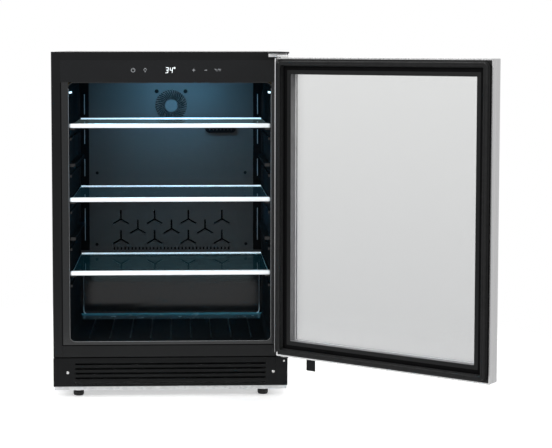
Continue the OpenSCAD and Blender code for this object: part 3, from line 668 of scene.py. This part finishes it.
# Black baffle close behind the vents: painted shade that keeps the vents dark
BAFFLE_X = 195 * MM
BAFFLE_Z = (312 * MM, 425 * MM)
bm = bmesh.new()
add_block(bm, (-BAFFLE_X, BAFFLE_X), (duct_hi.y + 1.2 * MM, duct_hi.y + 2.2 * MM), BAFFLE_Z)
piece("duct_baffle", bm, "black_plastic", "cabinet", bevel=0.0003, finish=SHADE)

# ---------------------------------------------------------------- liner beads

liner_lo, liner_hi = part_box("inner_liner")
shelf_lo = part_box("shelf_3_glass")[0]
FLOOR_Z = 143 * MM
STEP_Y = 115 * MM
CORNER = 14 * MM

# The front bead's light grey on the dark liner is a painted highlight on its rounded edge.
BEAD_PAINTED_HIGHLIGHT = surface("liner_bead", (0.20, 0.205, 0.21), 0.22, vary=0.12, rough_vary=0.03, cloud=20,
                grain=1400, bump=0.02, specular=0.5)
# The mouldings' light grey is a painted reflection.
MOULDING_PAINTED_REFLECTION = surface("corner_moulding", (0.16, 0.17, 0.18), 0.20, vary=0.2, rough_vary=0.03,
                   cloud=40, grain=1400, bump=0.02, specular=0.6)
# The rear bead is a painted highlight: bright teal-white along its bottom run, fading to grey up
# the sides.
REAR_BEAD_PAINTED_HIGHLIGHT = surface("liner_rear_bead", None, 0.30, rough_vary=0.03, cloud=9, grain=1400,
                     bump=0.02, specular=0.6,
                     fade=((0.146, (0.55, 0.68, 0.72)), (0.175, (0.07, 0.075, 0.08))))
# The cove's teal, brighter near the rear wall, is a painted reflection.
COVE_PAINTED_REFLECTION = surface("floor_cove", None, 0.25, rough_vary=0.03, cloud=14, grain=1400, bump=0.02,
                     specular=0.4,
                     fade=((0.1434, (0.006, 0.022, 0.028)), (0.1468, (0.085, 0.25, 0.29))))
RIB = surface("floor_rib", (0.006, 0.010, 0.012), 0.5, vary=0.2, cloud=14, grain=1400, bump=0.02,
              specular=0.12)


def u_path(half, top, bottom, r, y, n=8):
    """Down the left side, across and up the right side, with round lower corners."""
    pts = [(-half, y, top), (-half, y, bottom + r)]
    for i in range(1, n + 1):
        a = math.radians(180 + 90 * i / n)
        pts.append((-half + r + r * math.cos(a), y, bottom + r + r * math.sin(a)))
    for i in range(n + 1):
        a = math.radians(270 + 90 * i / n)
        pts.append((half - r + r * math.cos(a), y, bottom + r + r * math.sin(a)))
    pts.append((half, y, top))
    return pts


bm = bmesh.new()
add_tube(bm, u_path(CAVITY_X + 0.6 * MM, liner_hi.z - 16 * MM, FLOOR_Z - 0.6 * MM, CORNER,
                    liner_lo.y + 1.5 * MM), 1.5 * MM, 12)
piece("liner_front_bead", bm, "liner_plastic", "cabinet", weighted=False, finish=BEAD_PAINTED_HIGHLIGHT)

# Rear bead whose bright bottom run is a painted highlight
bm = bmesh.new()
add_tube(bm, u_path(CAVITY_X - 10 * MM, shelf_lo.z - 12 * MM, FLOOR_Z + 1.4 * MM, CORNER,
                    STEP_Y - 1.2 * MM), 1.7 * MM, 12)
piece("liner_rear_bead", bm, "liner_plastic", "cabinet", weighted=False, finish=REAR_BEAD_PAINTED_HIGHLIGHT)

# Cove where the floor runs up into the rear wall, carrying a painted teal reflection of the lit
# rear wall that is brighter towards the wall
cove = [(114, 142.8), (114, 148), (108, 146.2), (98, 145), (84, 144.3), (66, 143.7), (48, 143.3),
        (48, 142.8)]
bm = bmesh.new()
add_loops(bm, [[(x, y * MM, z * MM) for y, z in cove]
               for x in (-CAVITY_X + 0.5 * MM, CAVITY_X - 0.5 * MM)])
piece("floor_cove", bm, "liner_plastic", "cabinet", angle=60, finish=COVE_PAINTED_REFLECTION)

# Short vertical mouldings on the dark channels, clear of the shelf ledges; their light grey is a
# painted reflection
MOULDING_Z = ((0.350, 0.440), (0.530, 0.578), (0.620, 0.660), (0.702, 0.758))
bm = bmesh.new()
for side in (-1, 1):
    x, y = side * (CAVITY_X - 14.5 * MM), duct_lo.y + 1.3 * MM
    for a, b in MOULDING_Z:
        add_tube(bm, [(x, y, z) for z in (a, a + 4 * MM, b - 4 * MM, b)], 1.3 * MM, 12)
piece("liner_corner_mouldings", bm, "liner_plastic", "cabinet", weighted=False, finish=MOULDING_PAINTED_REFLECTION)

# Near-black strip in the gap between the steel frame and the liner's flange: painted shade in the
# groove
GAP_X, GAP_Z, GAP_TOP = 273.6 * MM, 134.2 * MM, 800.5 * MM
bm = bmesh.new()
for x0, x1, z0, z1 in ((-GAP_X - 0.9 * MM, -GAP_X + 1.5 * MM, GAP_Z - 1.2 * MM, GAP_TOP),
                       (GAP_X - 1.5 * MM, GAP_X + 0.9 * MM, GAP_Z - 1.2 * MM, GAP_TOP),
                       (-GAP_X, GAP_X, GAP_Z - 1.2 * MM, GAP_Z + 1.2 * MM)):
    add_block(bm, (x0, x1), (liner_lo.y - 0.25 * MM, liner_lo.y + 2 * MM), (z0, z1))
piece("liner_shadow_gap", bm, "rubber", "cabinet", bevel=0.0001, finish=BLACK_AND_PAINTED_SHADE)

# Shallow ribs that keep crates off the compartment floor
RIB_PITCH = 52 * MM
RIB_Y = (-0.235, 0.045)
rib = [(-2.2 * MM, -0.3 * MM), (-1.2 * MM, 0.7 * MM), (1.2 * MM, 0.7 * MM), (2.2 * MM, -0.3 * MM)]
bm = bmesh.new()
for k in range(-4, 5):
    add_loops(bm, [[(k * RIB_PITCH + x, y, FLOOR_Z + z) for x, z in rib] for y in RIB_Y])
piece("floor_ribs", bm, "liner_plastic", "cabinet", finish=RIB)

# ---------------------------------------------------------------- shelf trims

TRIM_CAP = surface("trim_cap", (0.80, 0.84, 0.86), 0.12, vary=0.05, rough_vary=0.03, cloud=60,
                   grain=1200, bump=0.03, coat=0.6)
# The rear rails' glow is painted light standing in for the blue-white lamp light on them.
RAIL_PAINTED_GLOW = surface("rear_rail", (0.74, 0.79, 0.82), 0.24, vary=0.05, cloud=40, grain=900, bump=0.05,
               coat=0.3, glow=(0.84, 0.93, 1.0), glow_power=0.52)
EDGE = surface("ground_edge", (0.30, 0.42, 0.46), 0.30, vary=0.2, cloud=50, grain=1200, bump=0.2,
               specular=0.6)
for k in (1, 2, 3):
    body = f"shelf_{k}"
    node = f"{body}_front_trim"
    lo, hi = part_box(node)
    cz, r = (lo.z + hi.z) / 2, (hi.z - lo.z) / 2
    yc = lo.y + r
    cap = 3.5 * MM
    nose = [(yc + r * math.cos(a), cz + r * math.sin(a))
            for a in (math.radians(90 + 180 * i / 20) for i in range(21))]
    tail = [(hi.y - 0.5 * MM, lo.z), (hi.y, lo.z + 0.5 * MM), (hi.y, cz - 2.7 * MM),
            (hi.y - 1.2 * MM, cz - 3.4 * MM), (hi.y - 1.2 * MM, cz + 1.4 * MM),
            (hi.y, cz + 2.0 * MM), (hi.y, hi.z - 0.5 * MM), (hi.y - 0.5 * MM, hi.z)]
    outline = nose + tail
    bm = bmesh.new()
    add_loops(bm, [[(x, y, z) for y, z in outline] for x in (lo.x + cap, hi.x - cap)])
    piece(f"{body}_front_rail", bm, "shelf_trim", body, (node,))
    bm = bmesh.new()
    for side, x in ((-1, lo.x), (1, hi.x)):
        steps = [(0.0, 0.80), (0.35 * MM, 0.92), (1.0 * MM, 1.0), (cap - 0.2 * MM, 1.0),
                 (cap + 0.6 * MM, 0.97)]
        add_loops(bm, [[(x - side * d, yc + (y - yc) * f, cz + (z - cz) * f)
                        for y, z in outline] for d, f in steps])
    piece(f"{body}_trim_caps", bm, "shelf_trim", body, finish=TRIM_CAP)

    node = f"{body}_rear_trim"
    lo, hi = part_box(node)
    glass_lo, glass_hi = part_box(f"{body}_glass")
    ease = 0.7 * MM
    outline = [(lo.y, hi.z - ease), (lo.y + ease, hi.z), (hi.y - ease, hi.z), (hi.y, hi.z - ease),
               (hi.y, lo.z + ease), (hi.y - ease, lo.z), (hi.y - 2.2 * MM, lo.z),
               (hi.y - 2.2 * MM, hi.z - 2.2 * MM), (lo.y, hi.z - 2.0 * MM)]
    bm = bmesh.new()
    add_loops(bm, [[(x, y, z) for y, z in outline] for x in (lo.x, hi.x)])
    piece(f"{body}_rear_rail", bm, "shelf_trim", body, (node,), finish=RAIL_PAINTED_GLOW)
    # bright ground edges of the glass, rounded where they meet the rear rail
    bm = bmesh.new()
    turn = 16 * MM
    for side in (-1, 1):
        x = side * (glass_hi.x - 1.2 * MM)
        z = (glass_lo.z + glass_hi.z) / 2
        path = [(x - side * turn, hi.y - 1.5 * MM, z)]
        for i in range(1, 9):
            a = math.radians(90 * i / 8)
            path.append((x - side * turn + side * turn * math.sin(a),
                         hi.y - 1.5 * MM - turn + turn * math.cos(a), z))
        path.append((x, glass_lo.y + 30 * MM, z))
        add_tube(bm, path, 1.1 * MM, 10)
    piece(f"{body}_glass_edges", bm, "shelf_glass", body, weighted=False, finish=EDGE)

# ---------------------------------------------------------------- door seal and handle

door_lo, door_hi = closed_box("door_outer_frame")
DOOR_X, DOOR_Z = (door_lo.x + door_hi.x) / 2, (door_lo.z + door_hi.z) / 2
DOOR_HW, DOOR_HH = (door_hi.x - door_lo.x) / 2, (door_hi.z - door_lo.z) / 2
seal_y = closed_box("door_gasket")[0].y
seal = [(7.0, 0.1), (6.8, 2.2), (8.2, 3.4), (8.2, 4.1), (7.0, 5.0), (7.2, 5.9), (9.0, 6.6),
        (9.0, 8.4), (10.2, 9.4), (8.9, 10.6), (8.9, 13.5), (9.7, 14.6), (13.4, 14.6),
        (13.8, 14.0), (14.2, 14.6), (17.9, 14.6), (18.7, 13.5), (18.7, 10.6), (17.4, 9.4),
        (18.6, 8.4), (18.6, 6.6), (20.4, 5.9), (20.6, 5.0), (19.4, 4.1), (19.4, 3.4), (20.8, 2.2),
        (20.6, 0.1)]
bm = bmesh.new()
add_ring(bm, DOOR_X, DOOR_Z, DOOR_HW, DOOR_HH, 22 * MM,
         [(a * MM, seal_y + b * MM) for a, b in seal], n=6)
piece("door_seal", bm, "gasket_rubber", "door", ("door_gasket",), place=OPEN, weighted=False,
      angle=30)

# Near-black ring between the gasket and the lip round the glass: painted shade in the channel there
lip_lo, lip_hi = closed_box("door_inner_frame")
channel = [(21.4, -0.3), (21.4, 0.2), (22.0, 0.5), (30.4, 0.5), (31.0, 0.2), (31.0, -0.3)]
bm = bmesh.new()
add_ring(bm, DOOR_X, DOOR_Z, DOOR_HW, DOOR_HH, 16 * MM,
         [(a * MM, lip_hi.y + b * MM) for a, b in channel], n=5)
piece("seal_channel", bm, "rubber", "door", place=OPEN, finish=BLACK_AND_PAINTED_SHADE)

# Grey wall of the lip round the glass
LIP = 41 * MM
bm = bmesh.new()
add_ring(bm, DOOR_X, DOOR_Z, DOOR_HW, DOOR_HH, 2 * MM,
         [(LIP - 0.2 * MM, lip_lo.y + 0.1 * MM), (LIP - 0.2 * MM, lip_hi.y - 1.4 * MM),
          (LIP + 0.4 * MM, lip_hi.y - 1.6 * MM), (LIP + 0.6 * MM, lip_hi.y - 2.2 * MM),
          (LIP + 0.6 * MM, lip_lo.y + 0.5 * MM), (LIP + 0.3 * MM, lip_lo.y + 0.1 * MM)], n=4)
piece("lip_wall", bm, "spacer_grey", "door", place=OPEN, finish=LIP_GREY)

# Raised bead along the hinge side of the steel frame; its brightness, rising towards the top, is a
# painted highlight
HINGE_BEAD_PAINTED_HIGHLIGHT = surface("hinge_side_bead", None, 0.30, metallic=1.0, rough_vary=0.05, cloud=24,
               grain=700, bump=0.1, stretch=(3.0, 3.0, 0.02),
               fade=((0.16, (0.20, 0.20, 0.205)), (0.75, (0.86, 0.86, 0.865))))
bead = [(0.0, 0.0), (0.0, 8.9), (0.5, 9.5), (2.7, 9.5), (3.2, 8.9), (3.2, 0.0)]
bm = bmesh.new()
add_loops(bm, [[(door_hi.x - a * MM, lip_hi.y + b * MM, z) for a, b in bead]
               for z in (door_lo.z + 10 * MM, door_hi.z - 2 * MM)])
piece("door_hinge_side_bead", bm, "stainless", "door", place=OPEN, finish=HINGE_BEAD_PAINTED_HIGHLIGHT)

# Turned handle bar with a groove near each end, on two flared stand-offs
AXIS = 0.4 * MM
bar_lo, bar_hi = closed_box("door_handle")
bar_x, bar_y = (bar_lo.x + bar_hi.x) / 2, (bar_lo.y + bar_hi.y) / 2
bar_r = (bar_hi.x - bar_lo.x) / 2
length = bar_hi.z - bar_lo.z
profile = [(AXIS, 0), (bar_r - 2.0 * MM, 0), (bar_r - 0.6 * MM, 0.5 * MM), (bar_r, 1.8 * MM),
           (bar_r, 9 * MM), (bar_r - 0.35 * MM, 9.4 * MM), (bar_r - 0.35 * MM, 10.2 * MM),
           (bar_r, 10.6 * MM)]
profile += [(r, length - h) for r, h in reversed(profile)]
bm = bmesh.new()
add_lathe(bm, profile, (bar_x, bar_y, bar_lo.z), "Z", 48)
piece("handle_bar", bm, "stainless", "door", ("door_handle",), place=OPEN, angle=50)

post_lo, post_hi = closed_box("handle_posts")
post_r = (post_hi.x - post_lo.x) / 2
reach = door_lo.y - bar_y
profile = [(AXIS, 0), (post_r + 2.6 * MM, 0), (post_r + 3.0 * MM, 0.8 * MM),
           (post_r + 2.4 * MM, 2.4 * MM), (post_r + 0.2 * MM, 3.6 * MM),
           (post_r - 0.2 * MM, 6 * MM), (post_r - 0.2 * MM, reach - bar_r - 1.5 * MM),
           (post_r + 0.8 * MM, reach - bar_r + 0.6 * MM), (post_r - 1.0 * MM, reach - 2 * MM),
           (AXIS, reach - 2 * MM)]
bm = bmesh.new()
for z in (post_lo.z + post_r, post_hi.z - post_r):
    add_lathe(bm, profile, (bar_x, door_lo.y, z), "-Y", 40)
piece("handle_stand_offs", bm, "stainless", "door", ("handle_posts",), place=OPEN, angle=50)

# ---------------------------------------------------------------- screws


def add_screw(bm, x, y, z, r, height, shank):
    """Pan head with a cross recess, facing -Y, on a plain shank."""
    sides = 32
    angles = [2 * math.pi * i / sides for i in range(sides)]
    neck_share, recess_depth = 0.42, 0.675
    arm_tip, arm_root, arm_width = 0.28, 0.16, 0.42

    def circle(y_at, share):
        return [bm.verts.new((x + r * share(a) * math.cos(a), y_at, z + r * share(a) * math.sin(a)))
                for a in angles]

    def cross(a):
        return arm_tip if min(abs(math.cos(a)), abs(math.sin(a))) < arm_width else arm_root

    dome = [(0.30, 1.0), (0.62, 0.96), (0.86, 0.72), (0.98, 0.34), (1.0, 0.0)]
    front = [circle(y - height * h, lambda a, f=f: f) for f, h in dome]
    for ring, nxt in zip(front, front[1:]):
        for i in range(sides):
            j = (i + 1) % sides
            bm.faces.new((ring[i], ring[j], nxt[j], nxt[i]))
    # the recess: every wall of the cross drops to a small floor
    inner = circle(y - height + height * recess_depth, cross)
    for i in range(sides):
        j = (i + 1) % sides
        bm.faces.new((front[0][j], front[0][i], inner[i], inner[j]))
    bm.faces.new(inner)
    base = front[-1]
    neck = circle(y, lambda a: neck_share)
    tip = circle(y + shank, lambda a: neck_share)
    for i in range(sides):
        j = (i + 1) % sides
        bm.faces.new((base[i], base[j], neck[j], neck[i]))
        bm.faces.new((neck[i], neck[j], tip[j], tip[i]))
    bm.faces.new(tip[::-1])


HEAD_H = 2.2 * MM
lo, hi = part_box("toe_grille_screws")
r = (hi.z - lo.z) / 2
bm = bmesh.new()
for side in (-1, 1):
    add_screw(bm, side * (hi.x - r), lo.y + HEAD_H, (lo.z + hi.z) / 2, 0.82 * r, HEAD_H, 10 * MM)
piece("plinth_screws", bm, "screw_steel", "cabinet", ("toe_grille_screws",))

# Heads against the front of the hinge plates: offsets from the pin for the two at the top,
# heights for the two at the bottom
UPPER_DX = (-31 * MM, -10 * MM)
LOWER_DX = 2 * MM
LOWER_Z = (92 * MM, 118 * MM)
STUB = 0.1 * MM
lo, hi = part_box("hinge_screws")
upper_r = 2.2 * MM
bm = bmesh.new()
for dx in UPPER_DX:
    add_screw(bm, PIN.x + dx, hi.y, hi.z - upper_r, upper_r, 1.0 * MM, STUB)
for z in LOWER_Z:
    add_screw(bm, PIN.x + LOWER_DX, hi.y, z, 2.9 * MM, 1.6 * MM, STUB)
piece("hinge_screw_heads", bm, "screw_steel", "cabinet", ("hinge_screws",))

# Near-black rubber strip that closes the joint between the plinth and the lower rail: painted shade
# that keeps the joint dark
rail_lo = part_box("bottom_rail")[0]
toe_lo, toe_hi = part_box("toe_grille")
near, far = toe_lo.y + 3 * MM, toe_lo.y + 9 * MM
low, high = toe_hi.z - 2 * MM, rail_lo.z - 0.1 * MM
strip = [(near + 1 * MM, low), (near, toe_hi.z + 0.5 * MM), (near, high), (far, high), (far, low)]
bm = bmesh.new()
add_loops(bm, [[(x, y, z) for y, z in strip] for x in (toe_lo.x + 2 * MM, toe_hi.x - 2 * MM)])
piece("plinth_seal", bm, "rubber", "cabinet", finish=BLACK_AND_PAINTED_SHADE)

# ---------------------------------------------------------------- levelling feet

PAD_H = 12 * MM
HEX_H = 4 * MM
STEM_R = 3.4 * MM
STEM_TOP = 58 * MM
KNURLS = 24
THREAD_TURNS, THREAD_SIDES = 26, 14
THREAD_Z, THREAD_H = 17 * MM, 39 * MM
for corner in ("front_left", "front_right", "rear_left", "rear_right"):
    node = f"foot_{corner}"
    lo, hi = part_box(node)
    cx, cy, r = (lo.x + hi.x) / 2, (lo.y + hi.y) / 2, (hi.x - lo.x) / 2
    bm = bmesh.new()
    add_lathe(bm, [(AXIS, 0), (r - 2.6 * MM, 0), (r - 1.6 * MM, 0.4 * MM), (r - 1.0 * MM, 2 * MM),
                   (r - 0.2 * MM, 3 * MM), (r, 4 * MM), (r, 10 * MM), (r - 0.5 * MM, 11.4 * MM),
                   (r - 1.8 * MM, PAD_H), (AXIS, PAD_H)], (cx, cy, 0), "Z", 48)
    for i in range(KNURLS):
        a = 2 * math.pi * i / KNURLS
        x, y = cx + (r - 0.5 * MM) * math.cos(a), cy + (r - 0.5 * MM) * math.sin(a)
        add_tube(bm, [(x, y, z) for z in (4.2 * MM, 7 * MM, 10 * MM)], 0.5 * MM, 6)
    piece(f"{node}_pad", bm, "foot_rubber", BODY_OF[node], (node,), weighted=False)
    bm = bmesh.new()
    hexagon = r - 3.6 * MM
    add_lathe(bm, [(AXIS, PAD_H), (hexagon * 0.94, PAD_H), (hexagon, PAD_H + 0.6 * MM),
                   (hexagon, PAD_H + HEX_H - 0.6 * MM), (hexagon * 0.94, PAD_H + HEX_H),
                   (AXIS, PAD_H + HEX_H)], (cx, cy, 0), "Z", 6)
    thread = []
    for i in range(THREAD_TURNS * THREAD_SIDES + 1):
        a = 2 * math.pi * i / THREAD_SIDES
        thread.append((cx + STEM_R * math.cos(a), cy + STEM_R * math.sin(a),
                       THREAD_Z + i / (THREAD_TURNS * THREAD_SIDES) * THREAD_H))
    add_tube(bm, thread, 0.5 * MM, 5)
    add_lathe(bm, [(AXIS, 15 * MM), (STEM_R, 15 * MM), (STEM_R, STEM_TOP - 1 * MM),
                   (STEM_R - 0.6 * MM, STEM_TOP), (AXIS, STEM_TOP)], (cx, cy, 0), "Z", 24)
    piece(f"{node}_stem", bm, "screw_steel", BODY_OF[node], weighted=False)
